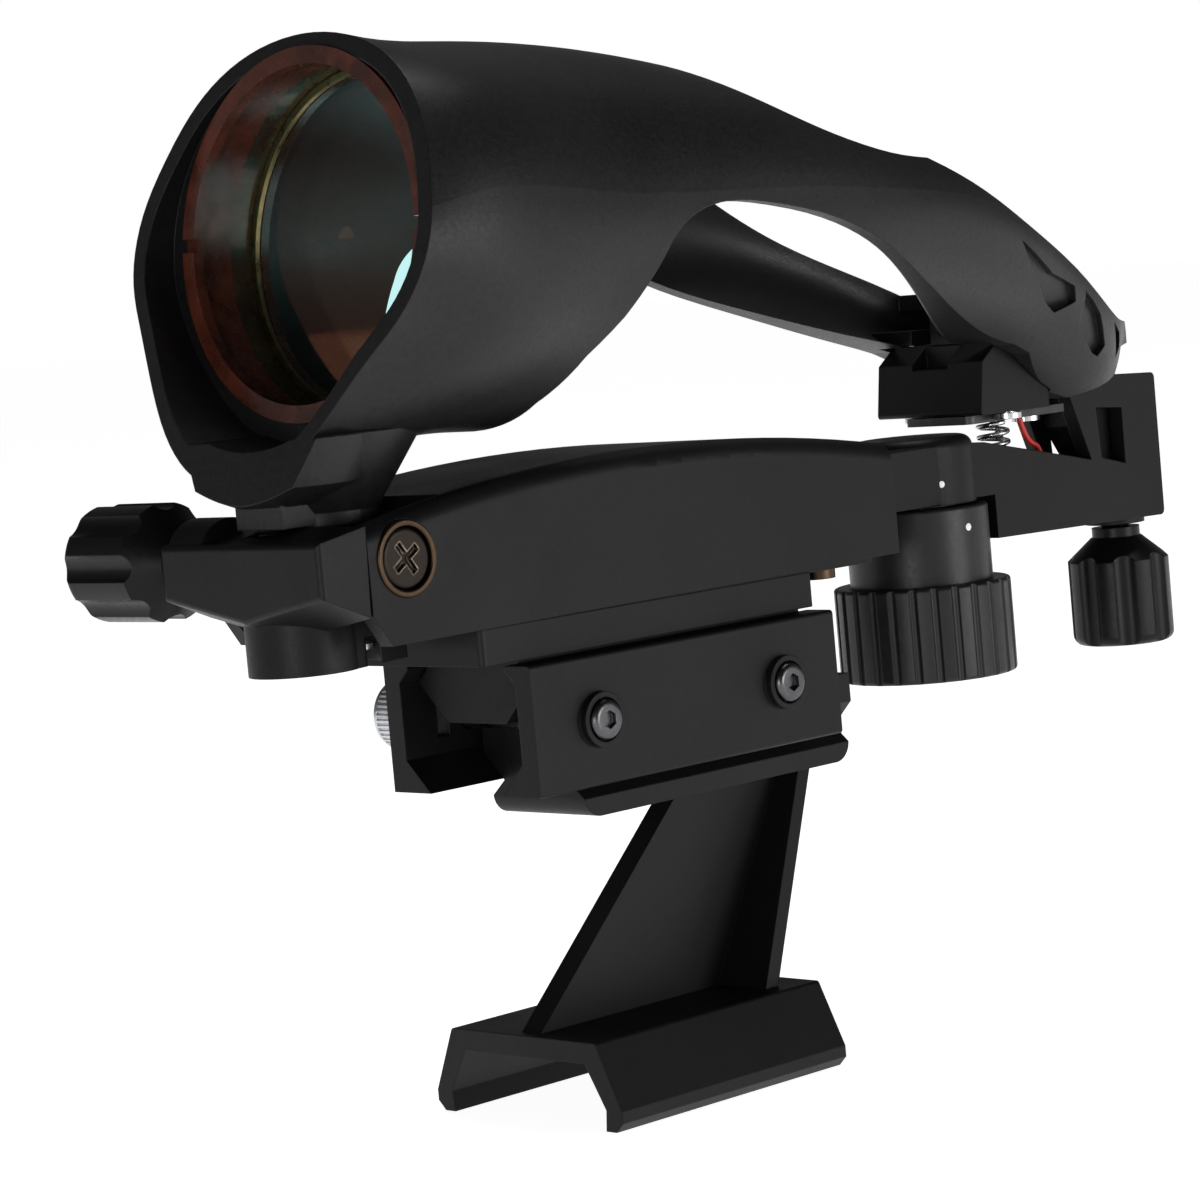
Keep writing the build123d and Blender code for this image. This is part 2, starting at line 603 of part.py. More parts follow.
def make_hood():
    outer = hood_form(0, HOOD_STATIONS)
    tail_end = (101.4, 5.9, 97.7, 76.0, 2.4)
    inner_stations = HOOD_STATIONS[:-1] + [tail_end]
    inner = hood_form(HOOD_WALL, inner_stations)
    below_skin = hood_form(POCKET_DEPTH, inner_stations)

    # the lens cell sits in a bored flange between two tilted planes
    seat = tilted(LENS_TILT, LENS_Y, LENS_Z) * Pos(0, 0, 0.6)
    inner -= seat * Box(80, 80, FLANGE_DEPTH)
    # the nose is closed by a roof behind the opening
    roof_line = [(79.0, 95.3), (81.4, 94.0), (85.5, 92.0), (92.0, 89.7), (96.0, 89.2), (106.0, 88.4)]
    roof_under = [(y, z - HOOD_WALL) for y, z in reversed(roof_line)]
    inner -= prism_x(roof_line + roof_under, -20, 20)
    hood = outer - inner
    hood -= seat * Cylinder(CELL_R, FLANGE_DEPTH + 3)

    # open bottom: behind the tube's rear edge, the side windows and the arms' lower edges
    window = Spline((0, -8.6, 104.0), (0, -4.6, 107.8), (0, 2.0, 109.7), (0, 10.0, 109.2),
                    (0, 21.0, 106.9), (0, 30.0, 103.5), (0, 38.0, 99.5), (0, 48.0, 95.2),
                    (0, 61.0, 90.2), (0, 69.0, 87.8))
    under = [(69.0, 87.8), (72.0, 86.5), (75.4, 83.8), (79.4, 80.8), (82.5, 79.6), (94.6, 82.6),
             (100.0, 85.4), (110.0, 86.4), (110.0, 60.0), (-19.0, 60.0), (-19.0, 84.0),
             (-20.2, 88.0), (-17.8, 93.0), (-13.8, 97.2), (-8.6, 104.0)]
    outline = make_face(window + Polyline(*[(0, y, z) for y, z in under]))
    hood -= Pos(-40, 0, 0) * extrude(outline, amount=80, dir=(1, 0, 0))
    for pocket in NOSE_POCKETS:
        hood -= both_sides(prism_x(pocket, 2, 30) - below_skin)

    # the arms' top edges, and the opening that they leave, round at its front end
    arm_top = Spline((0, 22.0, 121.6), (0, 30.0, 118.6), (0, 38.0, 115.4), (0, 51.4, 109.0),
                     (0, 60.5, 104.2), (0, 69.4, 100.0), (0, 77.6, 96.1), (0, 85.5, 92.0),
                     (0, 92.0, 89.7), (0, 96.0, 89.2), (0, 106.0, 88.4))
    above = Polyline((0, 106.0, 88.4), (0, 106.0, 140.0), (0, 22.0, 140.0), (0, 22.0, 121.6))
    hood -= Pos(-40, 0, 0) * extrude(make_face(arm_top + above), amount=80, dir=(1, 0, 0))
    edge = Spline((0, 6.5), (12.5, 10.4), (19.6, 18.0), (22.6, 30.0), (22.0, 50.0),
                  (18.4, 68.0), (12.6, 78.0), (6.0, 81.8), (0, 82.6), tangents=[(1, 0), (-1, 0)])
    half_plan = make_face(edge + Line((0, 82.6), (0, 6.5)))
    hood -= both_sides(extrude(Pos(0, 0, 111.0) * half_plan, amount=60))

    # chin and hub under the tube
    lower = cone_z(4.8, 10.2, 79.3, 81.6, 0, CHIN_Y)
    lower += cone_z(10.2, 12.4, 81.6, 87.0, 0, CHIN_Y)
    lower += rod_z(HUB_R, HUB_BOTTOM, 88.0, 0, ALT_Y)
    lower += cone_z(HUB_R, 12.5, 78.0, 87.0, 0, ALT_Y)
    lower += block(-4.2, 4.2, AZ_SCREW_Y - 1.6, ALT_Y, HUB_BOTTOM + 0.3, 87.0)
    hood += lower - rod_y(23.6, -80, 0, 0, LENS_Z)
    # the rim lies in a plane of its own
    hood -= tilted(RIM_TILT, RIM_Y, RIM_Z) * Pos(0, 0, 20) * Box(90, 90, 40)
    hood -= rod_z(PIVOT_R, 70, PIN_TOP, 0, ALT_Y)
    hood -= rod_z(SCREW_R, 70, LUG_TOP, 0, AZ_SCREW_Y)
    # room for the emitter, and bosses for its screws under the nose's roof
    side = EMITTER_HALF + 0.2
    hood -= block(-side, side, EMITTER_FRONT - 1, 79.7, 70, EMITTER_TOP + 0.05)
    hood -= block(-5.8, 5.8, 79.0, 87.6, 70, EMITTER_TOP + 0.05)
    front, rear = EMITTER_SCREW_YS
    low = EMITTER_TOP + 0.1
    hood += rod_z(2.3, low, 91.0, 0, rear)
    hood += both_sides(block(6.4, 15.0, front - 2, front + 2, low, low + 2))
    hood -= rod_z(EMITTER_SCREW_R, 80, 90.2, 0, rear)
    return hood - both_sides(rod_z(EMITTER_SCREW_R, 80, 90.2, EMITTER_SCREW_X, front))


# ---------------------------------------------------------------- lens group
def lens_plane():
    return tilted(LENS_TILT, LENS_Y, LENS_Z)


def ring(outer, inner, low, high):
    """Ring along the lens axis; low and high count towards the sky end."""
    body = Pos(0, 0, (low + high) / 2) * Cylinder(outer, high - low)
    return lens_plane() * (body - Cylinder(inner, 40))


def make_lens_cell():
    tube = ring(CELL_R - 0.02, LENS_R + 0.05, -4.0, 5.0)
    return tube + ring(CELL_R - 0.02, 19.6, -4.8, -3.6)


def make_objective_lens():
    """Meniscus, hollow towards the observer, so that its rear face acts as the reflector."""
    front_r, rear_r, thickness = 92.0, 96.0, 3.0
    glass = Cylinder(LENS_R, 12)
    front = Pos(0, 0, 2.6 - front_r) * Sphere(front_r)
    rear = Pos(0, 0, 2.6 - thickness - rear_r) * Sphere(rear_r)
    return lens_plane() * ((glass & front) - rear)


def make_lens_spacer():
    return ring(LENS_R - 0.05, 19.7, -3.5, -2.85)


def make_retaining_ring():
    body = ring(CELL_R - 0.02, 19.9, 5.1, 6.6)
    notches = [lens_plane() * Rot(0, 0, a) * Pos(21.0, 0, 6.6) * Box(2.4, 1.6, 1.6)
               for a in (0, 180)]
    return body - notches


# ---------------------------------------------------------------- parts under the hood
def make_pivot_pin():
    pin = rod_z(PIVOT_R, 60.6, PIN_TOP, 0, ALT_Y)
    groove = rod_z(PIVOT_R + 1, 61.4, 62.2, 0, ALT_Y) - rod_z(2.3, 60, 63, 0, ALT_Y)
    return pin - groove


def make_pivot_clip():
    clip = rod_z(4.6, 61.45, 62.15, 0, ALT_Y) - rod_z(2.3, 60, 63, 0, ALT_Y)
    return clip - block(-1.6, 1.6, ALT_Y, ALT_Y + 10, 60, 63)


def make_azimuth_lug():
    return rod_z(SCREW_R, 70.4, LUG_TOP, 0, AZ_SCREW_Y)


def make_emitter_housing():
    side = [(EMITTER_FRONT, 78.8), (EMITTER_FRONT + 1.1, 86.0), (69.4, EMITTER_TOP),
            (79.4, EMITTER_TOP), (79.4, 78.7)]
    body = prism_x(side, -EMITTER_HALF, EMITTER_HALF)
    body += prism_x([(79.0, 78.8), (79.0, EMITTER_TOP), (87.4, EMITTER_TOP), (87.4, 80.6)],
                    -5.6, 5.6)
    body = soften(body, 0.5, lambda e: e.group_by(Axis.Y)[0])
    body -= block(-3.2, 3.2, EMITTER_FRONT - 1, 69.2, 85.2, EMITTER_TOP + 1)
    front, rear = EMITTER_SCREW_YS
    clear = EMITTER_SCREW_R + 0.05
    body -= rod_z(clear, 70, 100, 0, rear)
    body -= both_sides(rod_z(clear, 70, 100, EMITTER_SCREW_X, front))
    # shallow pocket for the circuit, closed by the plate
    body -= block(-4.6, 4.6, 70.6, 78.0, 78, 82.4)
    return body


def make_led_holder():
    holder = block(-2.4, 2.4, 69.4, 74.4, EMITTER_TOP, 92.6)
    holder = soften(holder, 0.6, lambda e: e.filter_by(Axis.Y).group_by(Axis.Z)[-1])
    return holder - rod_y(1.25, 60, 73.0, 0, LED_Z)


def make_led():
    return rod_y(1.2, 70.6, 72.8, 0, LED_Z)


def make_reticle_disc():
    return rod_y(1.2, 69.6, 70.2, 0, LED_Z) - rod_y(0.25, 69, 71, 0, LED_Z)


def make_emitter_plate():
    plate = block(-5.9, 5.9, 66.4, 87.4, PLATE_LOW, PLATE_HIGH)
    plate = soften(plate, 1.2, lambda e: e.filter_by(Axis.Z))
    plate -= rod_z(EMITTER_SCREW_R + 0.05, 76, 80, 0, EMITTER_SCREW_YS[1])
    for route in (RED_ROUTE, BLACK_ROUTE):
        x, y, _ = route[-1]
        plate -= rod_z(2 * LEAD_R, 76, 80, x, y)
    return plate


def make_emitter_board():
    return block(-4.3, 4.3, 70.9, 77.7, 79.2, 80.2)


def make_emitter_screws():
    front_y, rear_y = EMITTER_SCREW_YS
    rear = rod_z(EMITTER_SCREW_R, 77.2, 90.0, 0, rear_y)
    rear += rod_z(2.0, 76.5, PLATE_LOW - 0.05, 0, rear_y)
    front = rod_z(EMITTER_SCREW_R, 78.5, 90.0, EMITTER_SCREW_X, front_y)
    front += rod_z(1.9, 77.8, 78.6, EMITTER_SCREW_X, front_y)
    return rear + both_sides(front)


def make_altitude_spring():
    spring = coil(2.0, 0.35, 10.2, 7)
    return Pos(0, 78.1, 66.75) * spring


# ---------------------------------------------------------------- leads
# each runs from its hole in the arm, forwards over the arm and up into the emitter plate
RED_ROUTE = [(3.4, 84.4, 67.0), (3.4, 84.4, 72.9), (3.9, 80.2, 74.0), (3.4, 79.6, 78.2)]
BLACK_ROUTE = [(-3.4, 84.4, 68.4), (-3.4, 84.4, 72.4), (-2.2, 82.2, 75.2), (-3.0, 80.6, 78.2)]


def make_lead(route):
    points = [Vector(*p) for p in route]
    radii = []
    for before, here, after in zip(points, points[1:], points[2:]):
        run_in, run_out = here - before, after - here
        half_turn = radians(run_in.get_angle(run_out)) / 2
        radii.append(0.45 * min(run_in.length, run_out.length) / tan(half_turn))
    print("lead radii", [round(r, 2) for r in radii])
    path = FilletPolyline(*points, radius=radii)
    lead = sweep(Plane(origin=path @ 0, z_dir=path % 0) * Circle(LEAD_R), path=path)
    print("lead volume", round(lead.volume, 3), "length times section",
          round(path.length * pi * LEAD_R ** 2, 3))
    return lead


PARTS = {
    "bracket": make_bracket, "near_jaw": make_near_jaw, "far_jaw": make_far_jaw,
    "clamp_bolts": make_clamp_bolts,
    "front_thumb_nut": lambda: make_thumb_nut(BOLT_YS[0]),
    "rear_thumb_nut": lambda: make_thumb_nut(BOLT_YS[1]),
    "bar_base": make_bar_base, "bar_cover": make_bar_cover,
    "pivot_ferrules": make_pivot_ferrules, "pivot_screws": make_pivot_screws,
    "cover_screws": make_cover_screws, "control_dial": make_control_dial,
    "battery_cap": make_battery_cap, "switch_shaft": make_switch_shaft,
    "rotary_switch": make_rotary_switch, "switch_board": make_switch_board,
    "coin_cell": make_coin_cell, "battery_spring": make_battery_spring,
    "altitude_knob": make_altitude_knob, "altitude_screw": make_altitude_screw,
    "altitude_clip": make_altitude_clip, "azimuth_knob": make_azimuth_knob,
    "azimuth_screw": make_azimuth_screw, "altitude_lifter": make_altitude_lifter,
    "lifter_insert": make_lifter_insert, "yoke": make_yoke,
    "azimuth_bush": make_azimuth_bush, "azimuth_insert": make_azimuth_insert,
    "azimuth_plunger": make_azimuth_plunger, "azimuth_spring": make_azimuth_spring,
    "hood": make_hood, "lens_cell": make_lens_cell, "objective_lens": make_objective_lens,
    "lens_spacer": make_lens_spacer, "retaining_ring": make_retaining_ring,
    "pivot_pin": make_pivot_pin, "pivot_clip": make_pivot_clip, "azimuth_lug": make_azimuth_lug,
    "emitter_housing": make_emitter_housing, "emitter_plate": make_emitter_plate,
    "emitter_board": make_emitter_board, "emitter_screws": make_emitter_screws,
    "led_holder": make_led_holder, "led": make_led, "reticle_disc": make_reticle_disc,
    "altitude_spring": make_altitude_spring,
    "red_lead": lambda: make_lead(RED_ROUTE), "black_lead": lambda: make_lead(BLACK_ROUTE),
}

for part_name, make_part in PARTS.items():
    save(part_name, make_part())
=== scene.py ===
"""Red dot finder on a dovetail foot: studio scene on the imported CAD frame. Metres, +Z up."""
import bmesh
import bpy
from math import cos, pi, radians, sin
from mathutils import Matrix, Vector


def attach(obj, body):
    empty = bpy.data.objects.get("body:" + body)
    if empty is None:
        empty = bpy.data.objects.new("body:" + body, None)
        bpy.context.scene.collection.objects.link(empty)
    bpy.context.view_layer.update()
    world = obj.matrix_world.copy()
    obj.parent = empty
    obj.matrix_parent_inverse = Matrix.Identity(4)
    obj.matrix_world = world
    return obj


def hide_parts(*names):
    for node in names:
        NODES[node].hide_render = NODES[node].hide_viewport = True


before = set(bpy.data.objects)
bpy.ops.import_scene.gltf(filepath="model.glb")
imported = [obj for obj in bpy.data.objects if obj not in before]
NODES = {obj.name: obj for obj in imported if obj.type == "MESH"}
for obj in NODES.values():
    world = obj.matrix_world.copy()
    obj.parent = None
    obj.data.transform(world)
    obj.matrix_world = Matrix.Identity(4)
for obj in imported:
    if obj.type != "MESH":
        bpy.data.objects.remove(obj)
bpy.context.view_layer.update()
MM = 0.001
PLASTIC_EDGE = 0.25 * MM     # rounding of moulded edges
METAL_EDGE = 0.15 * MM       # rounding of metal edges
TOOL_MARKS = 900.0           # scale of the relief on turned metal

# ---------------------------------------------------------------- camera
AZIMUTH, ELEVATION, ROLL = radians(46.0), radians(4.875), radians(5.2)
DISTANCE = 0.49607
AIM = Vector((0, 0, 0.06198))


def make_camera():
    data = bpy.data.cameras.new("camera")
    data.sensor_width = 36.0
    data.lens = 119.17
    data.clip_start = 0.01
    camera = bpy.data.objects.new("camera", data)
    bpy.context.scene.collection.objects.link(camera)
    back = Vector((cos(ELEVATION) * sin(AZIMUTH), -cos(ELEVATION) * cos(AZIMUTH), sin(ELEVATION)))
    right = Vector((cos(AZIMUTH), sin(AZIMUTH), 0))
    up = back.cross(right)
    across = right * cos(ROLL) - up * sin(ROLL)
    above = right * sin(ROLL) + up * cos(ROLL)
    place = Matrix((across, above, back)).transposed().to_4x4()
    place.translation = AIM + back * DISTANCE
    camera.matrix_world = place
    bpy.context.scene.camera = camera


make_camera()


# ---------------------------------------------------------------- materials
class Nodes:
    """A material's node tree with a few short calls."""

    def __init__(self, name):
        self.material = bpy.data.materials.new(name)
        self.material.use_nodes = True
        self.tree = self.material.node_tree
        self.shader = self.tree.nodes["Principled BSDF"]
        self.coordinates = self.tree.nodes.new("ShaderNodeTexCoord")

    def set(self, **values):
        for key, value in values.items():
            self.shader.inputs[key.replace("_", " ")].default_value = value

    def link(self, out, into):
        self.tree.links.new(out, into)

    def noise(self, scale, detail=4.0, rough=0.55):
        node = self.tree.nodes.new("ShaderNodeTexNoise")
        node.inputs["Scale"].default_value = scale
        node.inputs["Detail"].default_value = detail
        node.inputs["Roughness"].default_value = rough
        self.link(self.coordinates.outputs["Object"], node.inputs["Vector"])
        return node.outputs["Fac"]

    def bands(self, scale, direction, profile="TRI"):
        node = self.tree.nodes.new("ShaderNodeTexWave")
        node.bands_direction = direction
        node.wave_profile = profile
        node.inputs["Scale"].default_value = scale
        self.link(self.coordinates.outputs["Object"], node.inputs["Vector"])
        return node.outputs["Fac"]

    def span(self, value, low, high, from_low=0.3, from_high=0.7):
        node = self.tree.nodes.new("ShaderNodeMapRange")
        node.inputs["From Min"].default_value = from_low
        node.inputs["From Max"].default_value = from_high
        node.inputs["To Min"].default_value = low
        node.inputs["To Max"].default_value = high
        self.link(value, node.inputs["Value"])
        return node.outputs["Result"]

    def ramp(self, value, *stops):
        node = self.tree.nodes.new("ShaderNodeValToRGB")
        ends = node.color_ramp.elements
        while len(ends) < len(stops):
            ends.new(0.5)
        for element, (place, color) in zip(ends, stops):
            element.position = place
            element.color = (*color, 1)
        self.link(value, node.inputs["Fac"])
        return node.outputs["Color"]

    def bump(self, height, strength, distance, after=None):
        node = self.tree.nodes.new("ShaderNodeBump")
        node.inputs["Strength"].default_value = strength
        node.inputs["Distance"].default_value = distance
        self.link(height, node.inputs["Height"])
        if after:
            self.link(after, node.inputs["Normal"])
        return node.outputs["Normal"]

    def edge(self, radius):
        node = self.tree.nodes.new("ShaderNodeBevel")
        node.samples = 4
        node.inputs["Radius"].default_value = radius
        return node.outputs["Normal"]

    def worn_edges(self, radius):
        """1 along convex edges, 0 elsewhere, from how far the rounded normal leaves the flat one."""
        rounded = self.edge(radius)
        geometry = self.tree.nodes.new("ShaderNodeNewGeometry")
        dot = self.tree.nodes.new("ShaderNodeVectorMath")
        dot.operation = "DOT_PRODUCT"
        self.link(rounded, dot.inputs[0])
        self.link(geometry.outputs["Normal"], dot.inputs[1])
        return self.span(dot.outputs["Value"], 1.0, 0.0, 0.9, 0.995)


def black_plastic(name, level, rough, grain, depth, speckle=0.25, specular=0.3):
    """Moulded black plastic: spark-eroded grain, slow gloss variation and rounded edges."""
    m = Nodes(name)
    fine = m.noise(grain, 3.0, 0.6)
    slow = m.noise(60.0, 3.0, 0.5)
    dark = tuple(level * k for k in (0.82, 0.82, 0.84))
    lit = tuple(level * (1 + speckle) for _ in range(3))
    m.link(m.ramp(m.noise(grain * 0.6, 4.0, 0.6), (0.35, dark), (0.68, lit)), m.shader.inputs["Base Color"])
    mix = m.tree.nodes.new("ShaderNodeMath")
    mix.operation = "ADD"
    m.link(m.span(fine, rough - 0.05, rough + 0.06), mix.inputs[0])
    m.link(m.span(slow, -0.04, 0.05), mix.inputs[1])
    m.link(mix.outputs["Value"], m.shader.inputs["Roughness"])
    m.link(m.bump(fine, depth, 0.04 * MM, m.edge(PLASTIC_EDGE)), m.shader.inputs["Normal"])
    m.set(Specular_IOR_Level=specular)
    return m.material


def metal(name, color, rough):
    """Turned or drawn metal: tool marks in gloss and relief, faint tarnish in colour."""
    m = Nodes(name)
    marks = m.noise(TOOL_MARKS, 3.0, 0.6)
    cloud = m.noise(220.0, 4.0, 0.6)
    dim = tuple(c * 0.72 for c in color)
    m.link(m.ramp(cloud, (0.32, dim), (0.66, color)), m.shader.inputs["Base Color"])
    m.link(m.span(marks, rough - 0.06, rough + 0.12), m.shader.inputs["Roughness"])
    m.link(m.bump(marks, 0.25, 0.02 * MM, m.edge(METAL_EDGE)), m.shader.inputs["Normal"])
    m.set(Metallic=1.0)
    return m.material


def threaded(name, color, rough, direction):
    """Metal whose relief repeats along the screw's axis, like a fine thread, with painted shade in its
    troughs.
    """
    m = Nodes(name)
    ridge = m.bands(630.0, direction)
    # Base colour darker in the thread's troughs: painted shade in the grooves of a thread that is only a
    # bump.
    m.link(m.ramp(ridge, (0.2, tuple(c * 0.35 for c in color)), (0.8, color)), m.shader.inputs["Base Color"])
    m.link(m.bump(ridge, 0.9, 0.25 * MM), m.shader.inputs["Normal"])
    m.link(m.span(m.noise(700.0), rough - 0.05, rough + 0.1), m.shader.inputs["Roughness"])
    m.set(Metallic=1.0)
    return m.material


def worn_screw(name):
    """Blackened screw with brassy wear on its edges."""
    m = Nodes(name)
    worn = m.worn_edges(0.35 * MM)
    patchy = m.tree.nodes.new("ShaderNodeMath")
    patchy.operation = "MULTIPLY"
    m.link(worn, patchy.inputs[0])
    m.link(m.span(m.noise(900.0), 0.2, 1.0), patchy.inputs[1])
    m.link(m.ramp(patchy.outputs["Value"], (0.1, (0.018, 0.014, 0.011)), (0.6, (0.42, 0.33, 0.24))),
           m.shader.inputs["Base Color"])
    m.link(m.span(m.noise(700.0), 0.28, 0.45), m.shader.inputs["Roughness"])
    m.link(m.bump(m.noise(1200.0), 0.3, 0.03 * MM, m.edge(0.2 * MM)), m.shader.inputs["Normal"])
    m.set(Metallic=0.85)
    return m.material


def coated_glass(name):
    """Lens glass whose coating throws back red and lets a pale cyan through."""
    m = Nodes(name)
    tree = m.tree
    through = tree.nodes.new("ShaderNodeBsdfTransparent")
    cloud = m.noise(45.0, 3.0, 0.5)
    m.link(m.ramp(cloud, (0.3, (0.74, 0.98, 0.98)), (0.7, (0.8, 1.0, 1.0))), through.inputs["Color"])
    shine = tree.nodes.new("ShaderNodeBsdfGlossy")
    m.link(m.ramp(cloud, (0.3, (1.0, 0.26, 0.12)), (0.7, (0.95, 0.36, 0.2))), shine.inputs["Color"])
    m.link(m.span(m.noise(400.0), 0.03, 0.09), shine.inputs["Roughness"])
    fresnel = tree.nodes.new("ShaderNodeLayerWeight")
    fresnel.inputs["Blend"].default_value = 0.25
    mix = tree.nodes.new("ShaderNodeMixShader")
    m.link(m.span(fresnel.outputs["Facing"], 0.03, 0.1, 0.0, 1.0), mix.inputs["Fac"])
    m.link(through.outputs["BSDF"], mix.inputs[1])
    m.link(shine.outputs["BSDF"], mix.inputs[2])
    tree.nodes.remove(m.shader)
    m.link(mix.outputs["Shader"], tree.nodes["Material Output"].inputs["Surface"])
    return m.material


def simple(name, dark, lit, rough, scale=500.0, relief=0.2):
    """Small part: cloudy colour, uneven gloss and a little relief."""
    m = Nodes(name)
    m.link(m.ramp(m.noise(scale), (0.35, dark), (0.65, lit)), m.shader.inputs["Base Color"])
    m.link(m.span(m.noise(scale * 1.7), rough - 0.05, rough + 0.08), m.shader.inputs["Roughness"])
    m.link(m.bump(m.noise(scale * 2), relief, 0.03 * MM), m.shader.inputs["Normal"])
    return m.material


HOOD = black_plastic("hood_grain", 0.007, 0.42, 2300.0, 0.55, 0.5)
MOULD = black_plastic("moulded_black", 0.0045, 0.46, 3000.0, 0.3, 0.25, specular=0.2)
SATIN = black_plastic("satin_black", 0.004, 0.32, 1500.0, 0.12, 0.1, specular=0.18)
RUBBED = black_plastic("ring_black", 0.012, 0.36, 1800.0, 0.15, 0.15)
STEEL = metal("bright_steel", (0.72, 0.72, 0.73), 0.22)
NUT_STEEL = metal("nut_steel", (0.66, 0.67, 0.69), 0.30)
DARK_STEEL = threaded("dark_thread", (0.16, 0.155, 0.15), 0.32, "Z")
DARK_STEEL_X = threaded("dark_thread_x", (0.16, 0.155, 0.15), 0.32, "X")
BRONZE = metal("dark_bronze", (0.075, 0.048, 0.03), 0.34)
WORN = worn_screw("worn_screw")
BLACK_OXIDE = metal("black_oxide", (0.11, 0.11, 0.115), 0.26)
# Lens cell and retaining ring: dark copper-red painted in as the lens coating's red reflection; the parts
# themselves are probably black.
CELL = simple("cell_painted_reflection", (0.035, 0.009, 0.005), (0.085, 0.02, 0.01), 0.24, 260.0, 0.1)
# Lens spacer: bronze-red painted in as the lens coating's red reflection, not its own colour.
SPACER = metal("spacer_painted_reflection", (0.5, 0.25, 0.12), 0.3)
BRASS = metal("brass", (0.66, 0.47, 0.2), 0.28)
GLASS = coated_glass("coated_glass")
BOARD = simple("board_green", (0.008, 0.06, 0.03), (0.015, 0.1, 0.05), 0.45)
SWITCH = simple("switch_black", (0.01, 0.01, 0.01), (0.03, 0.03, 0.03), 0.3)
PLATE = simple("plate_black", (0.012, 0.012, 0.012), (0.03, 0.03, 0.03), 0.4)
LED_RED = simple("led_red", (0.35, 0.01, 0.01), (0.7, 0.05, 0.03), 0.15)
RED_WIRE = simple("red_insulation", (0.36, 0.008, 0.008), (0.6, 0.03, 0.02), 0.38, 300.0)
DARK_WIRE = simple("dark_insulation", (0.012, 0.012, 0.012), (0.035, 0.032, 0.03), 0.38, 300.0)
WHITE = simple("white_mark", (0.75, 0.75, 0.73), (0.9, 0.9, 0.88), 0.5, 900.0)

LOOKS = [
    (HOOD, "hood"),
    (MOULD, "bracket near_jaw far_jaw bar_base bar_cover yoke altitude_lifter emitter_housing led_holder"),
    (RUBBED, "control_dial battery_cap"), (CELL, "lens_cell retaining_ring"), (SPACER, "lens_spacer"),
    (SATIN, "altitude_knob azimuth_knob"),
    (BRONZE, "cover_screws"),
    (BLACK_OXIDE, "clamp_bolts"),
    (STEEL, "pivot_pin pivot_clip emitter_screws altitude_clip azimuth_plunger "
            "azimuth_spring altitude_spring battery_spring coin_cell"),
    (NUT_STEEL, "front_thumb_nut rear_thumb_nut"),
    (DARK_STEEL, "altitude_screw azimuth_lug"), (DARK_STEEL_X, "azimuth_screw"),
    (WORN, "pivot_screws"), (BRONZE, "pivot_ferrules"),
    (BRASS, "azimuth_bush azimuth_insert lifter_insert"),
    (GLASS, "objective_lens"), (BOARD, "switch_board emitter_board"),
    (SWITCH, "rotary_switch switch_shaft"), (PLATE, "emitter_plate reticle_disc"),
    (LED_RED, "led"), (RED_WIRE, "red_lead"), (DARK_WIRE, "black_lead"),
]
for material, names in LOOKS:
    for name in names.split():
        for place in NODES[name].material_slots:
            place.material = material


# ---------------------------------------------------------------- pieces
def link(name, mesh, material, body):
    piece = bpy.data.objects.new(name, mesh)
    bpy.context.scene.collection.objects.link(piece)
    mesh.materials.append(material)
    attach(piece, body)
    return piece


def dot(name, r, around_y, radius, angle, z, body):
    """Slightly domed round mark on a cylinder about a vertical axis, with its normal at the angle."""
    work = bmesh.new()
    rings, spokes = 4, 24
    centre = Vector((cos(angle), sin(angle), 0))
    across = Vector((-sin(angle), cos(angle), 0))
    rows = []
    for i in range(rings + 1):
        reach = r * i / rings
        rise = 0.06 * MM * (1 - (i / rings) ** 2) + 0.01 * MM
        row = []
        for k in range(spokes):
            turn = 2 * pi * k / spokes
            side = reach * cos(turn)
            out = (radius ** 2 - side ** 2) ** 0.5 + rise
            point = Vector((0, around_y, z + reach * sin(turn))) + centre * out + across * side
            row.append(work.verts.new(point))
            if i == 0:
                break
        rows.append(row)
    for k in range(spokes):
        after = (k + 1) % spokes
        work.faces.new((rows[0][0], rows[1][k], rows[1][after]))
        for i in range(1, rings):
            work.faces.new((rows[i][k], rows[i + 1][k], rows[i + 1][after], rows[i][after]))
    mesh = bpy.data.meshes.new(name)
    work.to_mesh(mesh)
    work.free()
    mesh.shade_smooth()
    return link(name, mesh, WHITE, body)


DIAL_Y = 60.7 * MM
BOSS_R = 8.3 * MM
CAP_R = 9.7 * MM
dot("index_dot_boss", 0.45 * MM, DIAL_Y, BOSS_R, radians(-22), 70.3 * MM, "bar")
dot("index_dot_dial", 0.5 * MM, DIAL_Y, CAP_R, radians(-4), 64.3 * MM, "dial")


def lead(name, route, material, node):
    """Thin lead on a smooth line through the given route, from the arm to the emitter."""
    data = bpy.data.curves.new(name, "CURVE")
    data.dimensions = "3D"
    data.bevel_depth = 0.4 * MM
    data.bevel_resolution = 4
    spline = data.splines.new("NURBS")
    spline.points.add(len(route) - 1)
    for point, place in zip(spline.points, route):
        point.co = (*(c * MM for c in place), 1)
    spline.order_u = 3
    spline.use_endpoint_u = True
    spline.resolution_u = 24
    data.materials.append(material)
    piece = bpy.data.objects.new(name, data)
    bpy.context.scene.collection.objects.link(piece)
    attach(piece, "bar")
    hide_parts(node)


RED_ROUTE = [(3.4, 84.4, 67.0), (3.4, 84.4, 72.9), (3.9, 80.2, 74.0), (3.4, 79.6, 78.2)]
BLACK_ROUTE = [(-3.4, 84.4, 68.4), (-3.4, 84.4, 72.4), (-2.2, 82.2, 75.2), (-3.0, 80.6, 78.2)]
lead("red_wire", RED_ROUTE, RED_WIRE, "red_lead")
lead("black_wire", BLACK_ROUTE, DARK_WIRE, "black_lead")


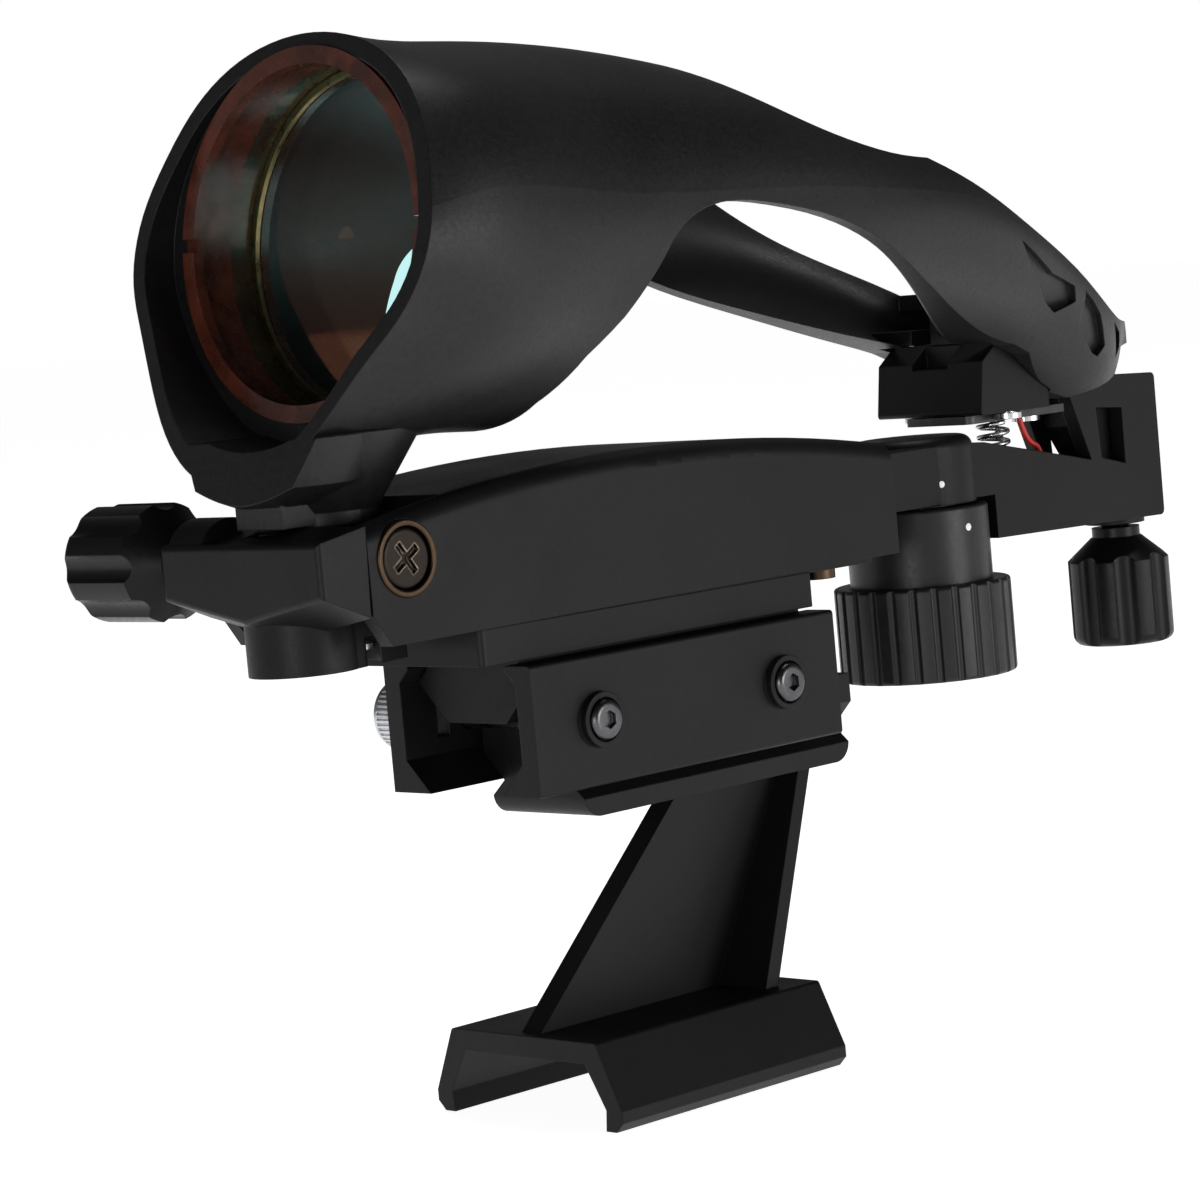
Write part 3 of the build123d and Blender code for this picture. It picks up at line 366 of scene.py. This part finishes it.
# ---------------------------------------------------------------- stage
def make_floor():
    work = bmesh.new()
    bmesh.ops.create_grid(work, x_segments=8, y_segments=8, size=6.0)
    mesh = bpy.data.meshes.new("floor")
    work.to_mesh(mesh)
    work.free()
    floor = bpy.data.objects.new("floor", mesh)
    bpy.context.scene.collection.objects.link(floor)
    m = Nodes("floor")
    m.set(Base_Color=(0.8, 0.8, 0.8, 1), Roughness=0.6, Specular_IOR_Level=0.1,
          Emission_Color=(1, 1, 1, 1), Emission_Strength=0.93)
    mesh.materials.append(m.material)


def area_light(name, place, target, size, power, size_y=None):
    data = bpy.data.lights.new(name, "AREA")
    data.energy = power
    data.size = size
    if size_y:
        data.shape = "RECTANGLE"
        data.size_y = size_y
    lamp = bpy.data.objects.new(name, data)
    lamp.location = place
    lamp.rotation_euler = (Vector(target) - Vector(place)).to_track_quat("-Z", "Y").to_euler()
    bpy.context.scene.collection.objects.link(lamp)


def make_world():
    """White for the camera; as light, pale near the horizon and dim overhead."""
    world = bpy.data.worlds.new("studio")
    bpy.context.scene.world = world
    world.use_nodes = True
    tree = world.node_tree
    seen = tree.nodes["Background"]
    seen.inputs["Color"].default_value = (1, 1, 1, 1)
    seen.inputs["Strength"].default_value = 1.0
    lit = tree.nodes.new("ShaderNodeBackground")
    coordinates = tree.nodes.new("ShaderNodeTexCoord")
    split = tree.nodes.new("ShaderNodeSeparateXYZ")
    tree.links.new(coordinates.outputs["Generated"], split.inputs["Vector"])
    fall = tree.nodes.new("ShaderNodeMapRange")
    fall.inputs["From Min"].default_value = 0.05
    fall.inputs["From Max"].default_value = 0.6
    fall.inputs["To Min"].default_value = 0.3
    fall.inputs["To Max"].default_value = 0.05
    tree.links.new(split.outputs["Z"], fall.inputs["Value"])
    tree.links.new(fall.outputs["Result"], lit.inputs["Strength"])
    path = tree.nodes.new("ShaderNodeLightPath")
    mix = tree.nodes.new("ShaderNodeMixShader")
    tree.links.new(path.outputs["Is Camera Ray"], mix.inputs["Fac"])
    tree.links.new(lit.outputs["Background"], mix.inputs[1])
    tree.links.new(seen.outputs["Background"], mix.inputs[2])
    tree.links.new(mix.outputs["Shader"], tree.nodes["World Output"].inputs["Surface"])


make_floor()
make_world()
area_light("near_side", (0.9, 0.3, 0.1), (0, 0, 0.09), 0.45, 3.2, 0.3)
area_light("front_low", (0.45, -0.9, 0.1), (0, 0, 0.05), 0.3, 2.0, 0.25)
area_light("overhead", (-0.1, 0.3, 1.1), (0, 0, 0.08), 0.5, 3.0)
bpy.context.scene.view_settings.view_transform = "Standard"
